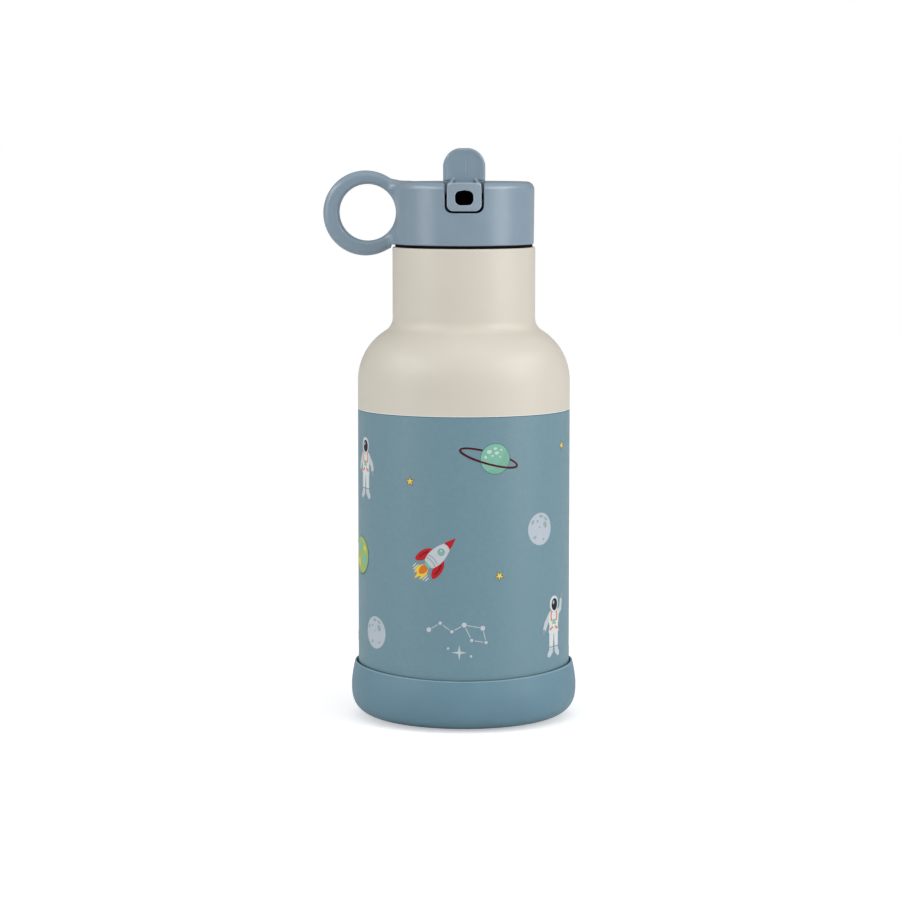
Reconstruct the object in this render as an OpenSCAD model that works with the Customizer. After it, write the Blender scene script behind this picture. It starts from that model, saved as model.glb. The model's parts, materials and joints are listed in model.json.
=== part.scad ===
// Insulated steel straw bottle for children: a double-wall vacuum flask with a silicone boot, and a
// screw lid with a carry loop and a flip-up spout. Millimetres, +Z up. The origin is the centre of
// the boot's underside, the drinking side faces -Y and the carry loop stands out towards -X.

/* [Bottle] */
// Outside diameter of the bottle's body
body_d = 70; // [69.6:0.1:70.4]
// Height of the printed film's upper edge
film_top = 102.7; // [90:0.1:106]
// Height where the shoulder starts to curve in
shoulder_z = 111.8; // [110:0.1:112]
// Radius of the shoulder's outward curve
shoulder_r = 19.2; // [18.8:0.1:19.6]
// Radius of the hollow where the shoulder meets the neck
neck_hollow_r = 5; // [4.5:0.1:5.5]
// Outside diameter of the neck
neck_d = 47; // [46.8:0.1:47.2]
// Height of the neck's rim
rim_z = 155.7; // [155:0.1:156]
// Thickness of each steel wall
steel = 0.5; // [0.4:0.1:0.6]

/* [Boot] */
// Largest diameter of the silicone boot
boot_d = 74.56; // [74:0.1:75]
// Diameter over the boot's lip
boot_lip_d = 72.4; // [72:0.1:72.6]
// Height of the boot
boot_h = 18.2; // [17:0.1:19.5]
// Thickness of the boot's floor
boot_floor = 2; // [1.8:0.1:2.4]

/* [Lid] */
// Diameter of the lid at its lower edge
lid_d = 46; // [45.8:0.1:46.2]
// Diameter of the lid just under its top edge
lid_top_d = 46.4; // [46.2:0.1:46.6]
// Height of the lid's top face
lid_top_z = 177.1; // [176.8:0.1:177.4]
// Gap between the neck's rim and the lid, which the gasket fills
lid_gap = 0.8; // [0.7:0.05:0.9]
// Pitch of the lid's right-hand thread
thread_pitch = 4; // [4:0.1:4.2]

/* [Carry loop] */
// Outside radius of the loop
loop_r = 13.93; // [13.6:0.01:14.1]
// Radius of the loop's hole
loop_hole_r = 9.28; // [9:0.01:9.4]
// Thickness of the loop from front to back
loop_t = 6.6; // [6.2:0.1:7]

/* [Spout] */
// Width of the spout
spout_w = 11.4; // [11.2:0.1:11.6]
// Height of the spout
spout_h = 9.14; // [9:0.01:9.2]
// Width of the drinking hole
mouth_w = 5.8; // [5.4:0.1:6]
// Height of the drinking hole
mouth_h = 4.45; // [4.3:0.05:4.6]
// Width of the thumb tab
tab_w = 14.2; // [13.6:0.1:14.6]
// Height of the thumb tab's top above the base
tab_top_z = 188.1; // [187:0.1:189]

/* [Hidden] */
$fn = 96;
eps = 0.01;
tilt_y = [90, 0, 0];

// Steel shells
body_r = body_d / 2;
film_t = 0.1;
shell_r = body_r - film_t;
bore_r = shell_r - steel;
neck_r = neck_d / 2;
shell_t = steel + film_t;
shell_neck_bore_r = neck_r - steel - 0.05;
seam_z = 13;
cup_corner = 9;
cup_panel_z = 3.9;
cup_panel_r = 21.5;
seal_hole_r = 1;

// Inner flask
flask_r = 32.2;
flask_bore_r = flask_r - steel;
flask_neck_r = 21.5;
flask_neck_bore_r = flask_neck_r - steel;
flask_shoulder_z = shoulder_z - 0.8;
flask_shoulder_r = 17;
flask_hollow_r = 6.5;
flask_floor_z = 7.5;
flask_seam_z = 18;
flask_corner = 8.5;

// Boot
boot_r = boot_d / 2;
boot_lip_r = boot_lip_d / 2;
boot_lip = (boot_lip_r - body_r) / 2;
boot_corner_w = 14.2;
boot_corner_h = 10.9;
boot_corner_power = 2.85;

// Lid, plug and thread
lid_r = lid_d / 2;
lid_z = rim_z + lid_gap;
lid_wall = 2;
lid_bore_r = 21.1;
plug_r = 19;
plug_wall = 1.8;
plug_floor_z = 145;
plug_floor_t = 2.5;
flange_t = 2;
ridge_root = 2;
ridge_tip = 1.2;
ridge_reach = 1.3;
ridge_sink = 0.2;
ridge_gap = 0.25;
neck_thread_z = rim_z - 6.7;
neck_thread_turns = 1;
plug_thread_turns = 1.25;
plug_thread_start = -45;
// Half of each ridge's width where the two ridges pass, plus the gap between their loaded faces
ridge_overlap = plug_r - flask_neck_bore_r + 2 * ridge_reach;
ridge_slope = (ridge_root - ridge_tip) / 2 / (ridge_reach + ridge_sink);
ridge_offset = ridge_tip + ridge_slope * ridge_overlap + ridge_gap;
port_r = 4.3;
flow_r = 2.1;
vent_hole_r = 0.8;
vent_y = 13;
valve_y = 11;
valve_stem_r = 1.2;

// Spout and its hinge
hinge_z = lid_top_z - 4.6;
barrel_r = 4.6;
spout_corner = 2;
mouth_corner = 1;
face_r = lid_r + 0.1;
spout_mid_z = lid_top_z - 0.1 - spout_h / 2;
slot_gap = 0.55;
slot_w = spout_w + 2 * slot_gap;
slot_floor_z = spout_mid_z - spout_h / 2 - slot_gap;
slot_end_y = barrel_r + 0.35;
slot_corner = 2.4;
slot_wall = 1.5;
seat_top_z = slot_floor_z + 1.5;
seat_gap = 0.05;
seal_z = 161;
pin_r = 1;
pin_gap = 0.05;
pin_in = 3.4;
pin_out = slot_w / 2 + 4.25;
pin_head_t = 0.8;
pin_head_r = 1.9;
mouth_depth = 14;
tab_front_y = -21.2;
tab_t = 3;
tab_corner = 5.2;
tab_gap = 0.35;

// Straw
straw_r = 4;
straw_bore_r = 3;
straw_end_z = 10;

// Carry loop
loop_x = -32.27;
loop_z = 166.8;
loop_hole_x = -31.6;
loop_hole_z = 167;
loop_round = 2.3;
loop_flare = 1.7;
loop_hollow_r = 10;

// ---- Outlines ----

// Points on an arc about c, from angle a0 to a1, leaving out the first `skip` of them
function arc(c, r, a0, a1, n, skip = 0) =
    [for (i = [skip:n]) let (a = a0 + (a1 - a0) * i / n) c + r * [cos(a), sin(a)]];

function reversed(p) = [for (i = [len(p) - 1:-1:0]) p[i]];

// A wall of radius r_wall turns in at height z0 along a curve of radius r_out, and then, without a
// corner, along a hollow of radius r_in that ends on a neck of radius r_neck
function shoulder(r_wall, z0, r_out, r_in, r_neck) =
    let (dx = r_neck + r_in - (r_wall - r_out),
         dz = sqrt(pow(r_out + r_in, 2) - dx * dx),
         a = atan2(dz, dx))
    concat(arc([r_wall - r_out, z0], r_out, 0, a, 16),
           arc([r_neck + r_in, z0 + dz], r_in, 180 + a, 180, 8, 1));

// Outline of a rectangle w by h about the origin, with rounded corners of radius r
function rounded(w, h, r, n = 8) =
    concat(arc([w / 2 - r, h / 2 - r], r, 0, 90, n), arc([r - w / 2, h / 2 - r], r, 90, 180, n),
           arc([r - w / 2, r - h / 2], r, 180, 270, n), arc([w / 2 - r, r - h / 2], r, 270, 360, n));

module lathe(points) { rotate_extrude() polygon(points); }

// An outline in x and z, pulled out along Y from y0 to y1
module along_y(y0, y1) { translate([0, y1, 0]) rotate(tilt_y) linear_extrude(y1 - y0) children(); }

module along_x(r, x0, x1) { translate([x0, 0, 0]) rotate([0, 90, 0]) cylinder(r = r, h = x1 - x0); }

// A ridge that climbs a wall of radius wall_r and reaches out to tip_r, or in to it. It passes height
// z0 at angle 0, begins at angle start, and fades out over its first and last steps
module thread_ridge(wall_r, tip_r, z0, start, turns, steps = 36, fade = 4) {
    n = steps * turns;
    side = sign(tip_r - wall_r);
    root_r = wall_r - side * ridge_sink;
    function section(t) = [[root_r, -ridge_root / 2], [t, -ridge_tip / 2],
        [t, ridge_tip / 2], [root_r, ridge_root / 2]];
    function ring(i) =
        let (f = min(1, (i + 0.6) / fade, (n - i + 0.6) / fade),
             p = section(wall_r + (tip_r - wall_r) * f),
             a = start + 360 * i / steps,
             z = z0 + thread_pitch * a / 360)
        [for (q = side > 0 ? p : reversed(p)) [q[0] * cos(a), q[0] * sin(a), z + q[1]]];
    points = [for (i = [0:n]) each ring(i)];
    sides = [for (i = [0:n - 1], j = [0:3])
        let (k = (j + 1) % 4, a = 4 * i, b = a + 4)
        each [[a + j, a + k, b + k], [a + j, b + k, b + j]]];
    caps = [[3, 2, 1], [3, 1, 0], [4 * n, 4 * n + 1, 4 * n + 2], [4 * n, 4 * n + 2, 4 * n + 3]];
    polyhedron(points, concat(sides, caps));
}

// ---- Steel flask and boot ----

module outer_shell() {
    rim_round = 0.45;
    color("ivory") lathe(concat(
        [[shell_r, seam_z], [shell_r, film_top], [body_r, film_top]],
        shoulder(body_r, shoulder_z, shoulder_r, neck_hollow_r, neck_r),
        arc([neck_r - rim_round, rim_z - rim_round], rim_round, 0, 90, 6),
        [[flask_neck_r, rim_z], [flask_neck_r, rim_z - steel], [shell_neck_bore_r, rim_z - steel]],
        reversed(shoulder(bore_r, shoulder_z, shoulder_r - shell_t, neck_hollow_r + steel,
            shell_neck_bore_r)),
        [[bore_r, seam_z]]));
}

module print_film() {
    color("cadetblue")
        lathe([[shell_r, seam_z], [body_r, seam_z], [body_r, film_top], [shell_r, film_top]]);
}

module base_cup() {
    corner = [shell_r - cup_corner, boot_floor + cup_corner];
    color("silver") difference() {
        lathe(concat(
            [[0, cup_panel_z], [cup_panel_r, cup_panel_z], [cup_panel_r, boot_floor]],
            arc(corner, cup_corner, -90, 0, 10),
            [[shell_r, seam_z], [bore_r, seam_z]],
            arc(corner, cup_corner - steel, 0, -90, 10),
            [[cup_panel_r + steel, boot_floor + steel], [cup_panel_r + steel, cup_panel_z + steel],
             [0, cup_panel_z + steel]]));
        translate([0, 0, cup_panel_z - steel]) cylinder(r = seal_hole_r, h = 3 * steel);
    }
}

module base_cover() {
    cover_t = 0.4;
    color("lightgray") translate([0, 0, boot_floor]) cylinder(r = cup_panel_r, h = cover_t);
}

module vacuum_seal_bead() {
    dome_r = 2.3;
    dome_h = 0.9;
    sphere_r = (dome_r * dome_r + dome_h * dome_h) / (2 * dome_h);
    edge = asin(dome_r / sphere_r);
    color("darkgray") lathe(concat(
        arc([0, cup_panel_z - dome_h + sphere_r], sphere_r, -90, edge - 90, 8),
        [[seal_hole_r, cup_panel_z], [seal_hole_r, cup_panel_z + steel], [0, cup_panel_z + steel]]));
}

module getter() {
    getter_x = 11;
    getter_r = 4;
    getter_t = 1.2;
    color("dimgray") translate([getter_x, 0, cup_panel_z + steel]) cylinder(r = getter_r, h = getter_t);
}

module foil_wrap() {
    foil_t = 0.2;
    foil_z = 20;
    foil_top = 108;
    color("silver") lathe([[flask_r, foil_z], [flask_r + foil_t, foil_z], [flask_r + foil_t, foil_top],
        [flask_r, foil_top]]);
}

module inner_flask() {
    color("gainsboro") {
        lathe(concat(
            [[flask_r, flask_seam_z]],
            shoulder(flask_r, flask_shoulder_z, flask_shoulder_r, flask_hollow_r, flask_neck_r),
            [[flask_neck_r, rim_z], [flask_neck_bore_r, rim_z]],
            reversed(shoulder(flask_bore_r, flask_shoulder_z, flask_shoulder_r - steel,
                flask_hollow_r + steel, flask_neck_bore_r)),
            [[flask_bore_r, flask_seam_z]]));
        thread_ridge(flask_neck_bore_r, flask_neck_bore_r - ridge_reach, neck_thread_z, 0,
            neck_thread_turns);
    }
}

module inner_base() {
    corner = [flask_r - flask_corner, flask_floor_z + flask_corner];
    color("silver") lathe(concat(
        [[0, flask_floor_z]],
        arc(corner, flask_corner, -90, 0, 10),
        [[flask_r, flask_seam_z], [flask_bore_r, flask_seam_z]],
        arc(corner, flask_corner - steel, 0, -90, 10),
        [[0, flask_floor_z + steel]]));
}

// The boot's corner is a superellipse, and its side leans in along a power curve to a full-round lip
module silicone_boot() {
    corner = [boot_r - boot_corner_w, boot_corner_h];
    lip = [boot_lip_r - boot_lip, boot_h - boot_lip];
    inside = [shell_r - cup_corner, boot_floor + cup_corner];
    bend = 2 / boot_corner_power;
    function bulge(a) = corner + [boot_corner_w * pow(cos(a), bend), -boot_corner_h * pow(sin(a), bend)];
    lean = 1.6;
    groove = [0.8, 0.5];
    color("steelblue") difference() {
        lathe(concat(
            [[0, 0]],
            [for (i = [14:-1:0]) bulge(90 * i / 14)],
            [for (i = [1:5]) [boot_r - (boot_r - boot_lip_r) * pow(i / 5, lean),
                boot_corner_h + (lip[1] - boot_corner_h) * i / 5]],
            arc(lip, boot_lip, 0, 180, 10, 1),
            [[body_r, seam_z], [shell_r, seam_z]],
            arc(inside, cup_corner, 0, -90, 10),
            [[0, boot_floor]]));
        for (r = [12, 15.5, 19]) rotate_extrude() translate([r, -eps]) square(groove);
    }
}

// ---- Lid ----

module neck_gasket() {
    gasket_in = plug_r + 0.1;
    gasket_out = 22.6;
    color("dimgray")
        lathe([[gasket_in, rim_z], [gasket_out, rim_z], [gasket_out, lid_z], [gasket_in, lid_z]]);
}

// Rounded drum about the Y axis, with its hole flared at both ends
module loop_ring() {
    half = loop_t / 2;
    difference() {
        translate([loop_x, 0, loop_z]) rotate(tilt_y) lathe(concat(
            [[0, -half]],
            arc([loop_r - loop_round, loop_round - half], loop_round, -90, 0, 8),
            arc([loop_r - loop_round, half - loop_round], loop_round, 0, 90, 8),
            [[0, half]]));
        translate([loop_hole_x, 0, loop_hole_z]) rotate(tilt_y) lathe(concat(
            [[0, -half - eps]],
            arc([loop_hole_r + loop_flare, loop_flare - half - eps], loop_flare, 270, 180, 6),
            arc([loop_hole_r + loop_flare, half + eps - loop_flare], loop_flare, 180, 90, 6),
            [[0, half + eps]]));
    }
}

// Web between the loop's crown and the lid's top face, under a hollow that meets both without a corner
module loop_web() {
    dz = lid_top_z + loop_hollow_r - loop_z;
    dx = sqrt(pow(loop_r + loop_hollow_r, 2) - dz * dz);
    a = atan2(dz, dx);
    web_t = 3.6;
    sink = 1.5;
    along_y(-web_t / 2, web_t / 2) polygon(concat(
        arc([loop_x + dx, lid_top_z + loop_hollow_r], loop_hollow_r, 180 + a, 270, 8),
        [[loop_x + dx, lid_top_z - sink], [loop_x + loop_r * cos(a) - sink, lid_top_z - sink]]));
}

module lid_skin() {
    top_r = lid_top_d / 2;
    edge = 2;
    foot = 0.5;
    lathe(concat(
        [[0, lid_z]],
        arc([lid_r - foot, lid_z + foot], foot, -90, 0, 4),
        arc([top_r - edge, lid_top_z - edge], edge, 0, 90, 8),
        [[0, lid_top_z]]));
}

module slot_outline() {
    above = 4;
    polygon(concat(
        [[slot_w / 2, lid_top_z + above], [-slot_w / 2, lid_top_z + above]],
        arc([slot_corner - slot_w / 2, slot_floor_z + slot_corner], slot_corner, 180, 270, 6),
        arc([slot_w / 2 - slot_corner, slot_floor_z + slot_corner], slot_corner, 270, 360, 6)));
}

// Walls and floor round the spout's slot, its hinge bosses and the port that takes the seat seal
module slot_trough() {
    outer_w = slot_w + 2 * slot_wall;
    bottom = slot_floor_z - slot_wall;
    top = lid_top_z - lid_wall / 2;
    boss_w = 3;
    boss_t = 6;
    boss_z = hinge_z - boss_t / 2;
    port_wall_r = port_r + 2;
    port_z = 159;
    intersection() {
        translate([-outer_w / 2, -lid_r, bottom])
            cube([outer_w, lid_r + slot_end_y + slot_wall, top - bottom]);
        translate([0, 0, lid_z]) cylinder(r = lid_bore_r + lid_wall / 2, h = lid_top_z - lid_z);
    }
    for (x = [-pin_out, pin_out - boss_w]) translate([x, -boss_t / 2, boss_z])
        cube([boss_w, boss_t, top - boss_z]);
    translate([0, 0, port_z]) cylinder(r = port_wall_r, h = slot_floor_z - slot_wall / 2 - port_z);
}

module lid_shell() {
    cavity_round = 1.2;
    cavity_top = lid_top_z - lid_wall;
    color("slategray") difference() {
        union() {
            difference() {
                union() {
                    lid_skin();
                    loop_ring();
                    loop_web();
                }
                lathe(concat(
                    [[0, lid_z - 1], [lid_bore_r, lid_z - 1]],
                    arc([lid_bore_r - cavity_round, cavity_top - cavity_round], cavity_round, 0, 90, 4),
                    [[0, cavity_top]]));
            }
            slot_trough();
        }
        along_y(-lid_r - 2, slot_end_y) slot_outline();
        translate([0, 0, lid_z]) cylinder(r = port_r, h = slot_floor_z + 1 - lid_z);
        translate([0, 0, hinge_z]) along_x(pin_r, -pin_out - 1, pin_out + 1);
        translate([loop_hole_x, 0, loop_hole_z]) rotate(tilt_y)
            cylinder(r = loop_hole_r, h = 2 * loop_t, center = true);
        translate([0, vent_y, cavity_top - 1]) cylinder(r = vent_hole_r, h = lid_wall + 2);
    }
}

module lid_plug() {
    socket_r = straw_r + 1.4;
    socket_z = plug_floor_z - 8;
    chamfer = 0.8;
    floor_z = plug_floor_z + plug_floor_t;
    bore = plug_r - plug_wall;
    air_hole_r = 0.7;
    air_hole_x = 2.6;
    color("lightsteelblue") difference() {
        union() {
            lathe([[lid_bore_r, lid_z], [lid_bore_r, lid_z + flange_t], [bore, lid_z + flange_t],
                [bore, floor_z], [port_r, floor_z], [port_r, seal_z], [flow_r, seal_z],
                [flow_r, plug_floor_z], [straw_r, plug_floor_z], [straw_r, socket_z],
                [socket_r, socket_z], [socket_r, plug_floor_z], [plug_r - chamfer, plug_floor_z],
                [plug_r, plug_floor_z + chamfer], [plug_r, lid_z]]);
            thread_ridge(plug_r, plug_r + ridge_reach, neck_thread_z - ridge_offset,
                plug_thread_start, plug_thread_turns);
        }
        translate([0, valve_y, plug_floor_z - 1]) {
            cylinder(r = valve_stem_r, h = plug_floor_t + 2);
            for (x = [-air_hole_x, air_hole_x]) translate([x, 0, 0])
                cylinder(r = air_hole_r, h = plug_floor_t + 2);
        }
    }
}

// Silicone seat that the spout's barrel turns on
module spout_seat_seal() {
    color("whitesmoke") difference() {
        translate([0, 0, seal_z]) cylinder(r = port_r, h = seat_top_z - seal_z);
        translate([0, 0, seal_z - 1]) cylinder(r = flow_r, h = seat_top_z - seal_z + 2);
        translate([0, 0, hinge_z]) along_x(barrel_r + seat_gap, -spout_w, spout_w);
    }
}

// Umbrella valve: a thin disc under the plug's floor on a stem with a retaining bead
module vent_valve() {
    disc_r = 3.9;
    disc_t = 0.7;
    bead_r = 1.7;
    bead_h = 1.4;
    top = plug_floor_z + plug_floor_t;
    color("whitesmoke") translate([0, valve_y, 0]) lathe([
        [0, plug_floor_z - disc_t], [disc_r - 1, plug_floor_z - disc_t],
        [disc_r, plug_floor_z - disc_t / 2], [disc_r, plug_floor_z], [valve_stem_r, plug_floor_z],
        [valve_stem_r, top], [bead_r, top], [valve_stem_r, top + bead_h], [0, top + bead_h]]);
}

module straw() {
    straw_l = plug_floor_z - straw_end_z;
    slant = 45;
    block = 10 * straw_r;
    color("whitesmoke") translate([0, 0, straw_end_z]) difference() {
        cylinder(r = straw_r, h = straw_l);
        translate([0, 0, -1]) cylinder(r = straw_bore_r, h = straw_l + 2);
        rotate([0, -slant, 0]) translate([0, 0, -block / 2]) cube(block, center = true);
    }
}

// ---- Spout ----

module thumb_tab() {
    bottom = lid_top_z + tab_gap;
    mid = (tab_top_z + bottom) / 2;
    foot = 1.2;
    crown = 0.25;
    half = tab_w / 2;
    along_y(tab_front_y, tab_front_y + tab_t) polygon(concat(
        arc([half - tab_corner, tab_top_z - crown - tab_corner], tab_corner, 0, 90, 10),
        [[0, tab_top_z]],
        arc([tab_corner - half, tab_top_z - crown - tab_corner], tab_corner, 90, 180, 10),
        arc([foot - half, bottom + foot], foot, 180, 270, 4),
        arc([half - foot, bottom + foot], foot, 270, 360, 4)));
    root_w = spout_w - 2;
    root_h = mid - spout_mid_z;
    translate([-root_w / 2, tab_front_y, spout_mid_z]) cube([root_w, tab_t, root_h]);
}

// Hinge barrel along X, with rounded ends that turn inside the slot's rounded corners
module hinge_barrel() {
    round_r = spout_corner;
    half = spout_w / 2;
    translate([0, 0, hinge_z]) rotate([0, 90, 0]) lathe(concat(
        [[0, -half]],
        arc([barrel_r - round_r, round_r - half], round_r, -90, 0, 6),
        arc([barrel_r - round_r, half - round_r], round_r, 0, 90, 6),
        [[0, half]]));
}

// Rounded-square tube with a face that follows the lid's side, cut away over the seat
module spout_tube() {
    relief_y = port_r + 0.6;
    relief_z = seat_top_z + 0.3;
    difference() {
        intersection() {
            along_y(-face_r - 1, 0) translate([0, spout_mid_z])
                polygon(rounded(spout_w, spout_h, spout_corner));
            translate([0, 0, lid_z]) cylinder(r = face_r, h = lid_top_z - lid_z);
        }
        translate([-spout_w, -relief_y, lid_z])
            cube([2 * spout_w, relief_y + 1, relief_z - lid_z]);
    }
}

module spout() {
    hole_in = pin_in - 0.2;
    color("slategray") difference() {
        union() {
            spout_tube();
            hinge_barrel();
            thumb_tab();
        }
        translate([0, 0, hinge_z]) {
            along_y(-face_r - 1, mouth_depth - face_r) polygon(rounded(mouth_w, mouth_h, mouth_corner));
            rotate(tilt_y) cylinder(r = flow_r, h = 2 * mouth_depth, center = true);
            along_x(pin_r + pin_gap, hole_in, spout_w);
            along_x(pin_r + pin_gap, -spout_w, -hole_in);
        }
    }
}

// Two headed pins, pressed into the lid's bosses, that the spout's barrel turns on
module spout_pivot_pins() {
    color("silver") for (turn = [0, 180]) translate([0, 0, hinge_z]) rotate([0, 0, turn]) {
        along_x(pin_r, pin_in, pin_out + eps);
        along_x(pin_head_r, pin_out, pin_out + pin_head_t);
    }
}

silicone_boot();
outer_shell();
print_film();
base_cup();
base_cover();
vacuum_seal_bead();
getter();
foil_wrap();
inner_flask();
inner_base();
neck_gasket();
lid_shell();
lid_plug();
spout();
spout_seat_seal();
spout_pivot_pins();
vent_valve();
straw();
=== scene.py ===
"""Looks of an insulated children's straw bottle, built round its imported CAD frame."""

import json
import math

import bmesh
import bpy
import numpy as np
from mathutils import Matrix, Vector


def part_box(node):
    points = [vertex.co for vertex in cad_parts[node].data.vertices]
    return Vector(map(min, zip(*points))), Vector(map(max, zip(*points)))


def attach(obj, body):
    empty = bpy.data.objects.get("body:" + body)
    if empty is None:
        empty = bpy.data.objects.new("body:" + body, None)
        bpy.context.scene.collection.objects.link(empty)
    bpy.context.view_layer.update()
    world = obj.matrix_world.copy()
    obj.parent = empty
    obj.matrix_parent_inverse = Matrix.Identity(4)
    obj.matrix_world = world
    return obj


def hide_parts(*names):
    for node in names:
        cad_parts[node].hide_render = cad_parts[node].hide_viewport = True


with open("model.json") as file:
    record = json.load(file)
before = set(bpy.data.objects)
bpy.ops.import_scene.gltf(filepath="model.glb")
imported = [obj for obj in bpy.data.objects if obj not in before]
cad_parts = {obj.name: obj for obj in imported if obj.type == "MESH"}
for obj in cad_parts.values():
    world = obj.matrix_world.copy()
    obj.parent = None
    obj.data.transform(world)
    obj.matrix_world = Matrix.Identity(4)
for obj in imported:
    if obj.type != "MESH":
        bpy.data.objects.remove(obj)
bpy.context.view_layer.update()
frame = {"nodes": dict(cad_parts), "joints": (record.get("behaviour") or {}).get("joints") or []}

MM = 0.001
AROUND = 256
MARGIN = Vector((1, 1, 1))


# ---- Sizes, in millimetres, from the frame ----

def low_mm(node):
    """Lowest corner of a CAD node, in millimetres."""
    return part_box(node)[0] / MM


def high_mm(node):
    """Highest corner of a CAD node, in millimetres."""
    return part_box(node)[1] / MM


def joint_mm(name):
    """A joint's place, in millimetres."""
    joint = next(j for j in frame["joints"] if j["name"] == name)
    return Vector(joint["pos_m"]) / MM


film_low, film_high = low_mm("print_film"), high_mm("print_film")
boot_high = high_mm("silicone_boot")
gasket_low, gasket_high = low_mm("neck_gasket"), high_mm("neck_gasket")
lid_low, lid_high = low_mm("lid_shell"), high_mm("lid_shell")
spout_low, spout_high = low_mm("spout"), high_mm("spout")

BODY_R = film_high.x
FILM_TOP = film_high.z
FILM_FOOT = film_low.z
RIM_Z = high_mm("outer_shell").z
STEEL = 0.5
FILM_T = 0.1
NECK_R = 23.5
NECK_HOLLOW_R = 5.0
SHOULDER_R = 19.2
SHOULDER_Z = 111.8
RIM_IN_R = 21.5

BOOT_R = boot_high.x
BOOT_H = boot_high.z
BOOT_FLOOR = 2.0
BOOT_LIP_R = 36.2

LID_Z = gasket_high.z
HINGE_Z = joint_mm("spout_flip").z
BARREL_R = 4.6
LID_TOP = HINGE_Z + BARREL_R
LID_R = 23.0
LID_TOP_R = 23.2
LID_BORE_R = 21.1
LID_WALL = 2.0
LOOP_R = (lid_high.z - lid_low.z) / 2
LOOP_X = lid_low.x + LOOP_R
LOOP_Z = (lid_high.z + lid_low.z) / 2
LOOP_HOLE_R = 9.28
LOOP_HOLE_X = LOOP_X + 0.67
LOOP_HOLE_Z = LOOP_Z + 0.2
LOOP_T = 6.6

SPOUT_W = 11.15
SPOUT_H = 9.14
SPOUT_MID_Z = LID_TOP - 0.1 - SPOUT_H / 2
SLOT_GAP = 0.72
SLOT_W = SPOUT_W + 2 * SLOT_GAP
SLOT_FLOOR = SPOUT_MID_Z - SPOUT_H / 2 - 0.62
SLOT_END_Y = BARREL_R + 0.35
SEAT_TOP = high_mm("spout_seat_seal").z
MOUTH_W = 5.9
MOUTH_H = 4.6
MOUTH_DROP = 0.38
TAB_W = spout_high.x - spout_low.x
TAB_TOP = spout_high.z
TAB_FRONT_Y = -21.2
TAB_T = 3.0


# ---- Materials ----

def new_material(name, colour, roughness, metallic=0.0):
    """Principled material with its node tree, its shader and one object-space texture coordinate."""
    made = bpy.data.materials.new(name)
    made.use_nodes = True
    nodes = made.node_tree.nodes
    shader = nodes["Principled BSDF"]
    shader.inputs["Base Color"].default_value = (*colour, 1)
    shader.inputs["Roughness"].default_value = roughness
    shader.inputs["Metallic"].default_value = metallic
    return made, shader, nodes.new("ShaderNodeTexCoord").outputs["Object"]


def srgb(red, green, blue):
    """Linear colour of an 8-bit display colour."""
    def linear(value):
        share = value / 255
        return share / 12.92 if share <= 0.04045 else ((share + 0.055) / 1.055) ** 2.4
    return linear(red), linear(green), linear(blue)


def add_noise(tree, place, scale, detail=3.0, stretch=None):
    """Noise over the surface. scale counts features per metre, and stretch lengthens them along an axis."""
    noise = tree.nodes.new("ShaderNodeTexNoise")
    noise.inputs["Scale"].default_value = scale
    noise.inputs["Detail"].default_value = detail
    if stretch:
        mapping = tree.nodes.new("ShaderNodeMapping")
        mapping.inputs["Scale"].default_value = stretch
        tree.links.new(place, mapping.inputs["Vector"])
        place = mapping.outputs["Vector"]
    tree.links.new(place, noise.inputs["Vector"])
    return noise.outputs["Fac"]


def vary_colour(tree, shader, fac, colour, spread):
    """Lightens and darkens the base colour by the given share, following fac."""
    ramp = tree.nodes.new("ShaderNodeValToRGB")
    for element, at, share in zip(ramp.color_ramp.elements, (0.3, 0.7), (1 - spread, 1 + spread)):
        element.position = at
        element.color = (*[min(1, c * share) for c in colour], 1)
    tree.links.new(fac, ramp.inputs["Fac"])
    tree.links.new(ramp.outputs["Color"], shader.inputs["Base Color"])


def map_range(tree, value, start, end, low, high):
    """Value stretched so that start becomes low and end becomes high."""
    span = tree.nodes.new("ShaderNodeMapRange")
    for name, number in (("From Min", start), ("From Max", end), ("To Min", low), ("To Max", high)):
        span.inputs[name].default_value = number
    tree.links.new(value, span.inputs["Value"])
    return span


def vary_roughness(tree, shader, fac, low, high):
    """Roughness between low and high, following fac."""
    span = map_range(tree, fac, 0.3, 0.7, low, high)
    tree.links.new(span.outputs["Result"], shader.inputs["Roughness"])


def add_bump(tree, shader, fac, height_mm, strength=1.0):
    """Relief of height_mm, following fac."""
    bump = tree.nodes.new("ShaderNodeBump")
    bump.inputs["Strength"].default_value = strength
    bump.inputs["Distance"].default_value = height_mm * MM
    tree.links.new(fac, bump.inputs["Height"])
    tree.links.new(bump.outputs["Normal"], shader.inputs["Normal"])


def moulded_plastic(name, colour, roughness=0.36, gloss=0.5):
    """Satin moulded plastic: a fine spark-eroded texture and faint flow mottling."""
    made, shader, place = new_material(name, colour, roughness)
    tree = made.node_tree
    shader.inputs["Specular IOR Level"].default_value = gloss
    shader.inputs["IOR"].default_value = 1.49
    vary_colour(tree, shader, add_noise(tree, place, 160, 4), colour, 0.025)
    vary_roughness(tree, shader, add_noise(tree, place, 260, 3), roughness - 0.02, roughness + 0.03)
    add_bump(tree, shader, add_noise(tree, place, 3200, 2), 0.012, 0.25)
    return made


def silicone(name, colour, roughness=0.5, gloss=0.5):
    """Matte silicone with a soft sheen, dusty mottling and a fine moulded skin."""
    made, shader, place = new_material(name, colour, roughness)
    tree = made.node_tree
    shader.inputs["Specular IOR Level"].default_value = gloss
    shader.inputs["IOR"].default_value = 1.41
    shader.inputs["Sheen Weight"].default_value = 0.16 * gloss
    shader.inputs["Sheen Roughness"].default_value = 0.5
    vary_colour(tree, shader, add_noise(tree, place, 90, 5), colour, 0.035)
    vary_roughness(tree, shader, add_noise(tree, place, 260, 4), roughness - 0.04, roughness + 0.08)
    add_bump(tree, shader, add_noise(tree, place, 2400, 3), 0.015, 0.5)
    return made


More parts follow.
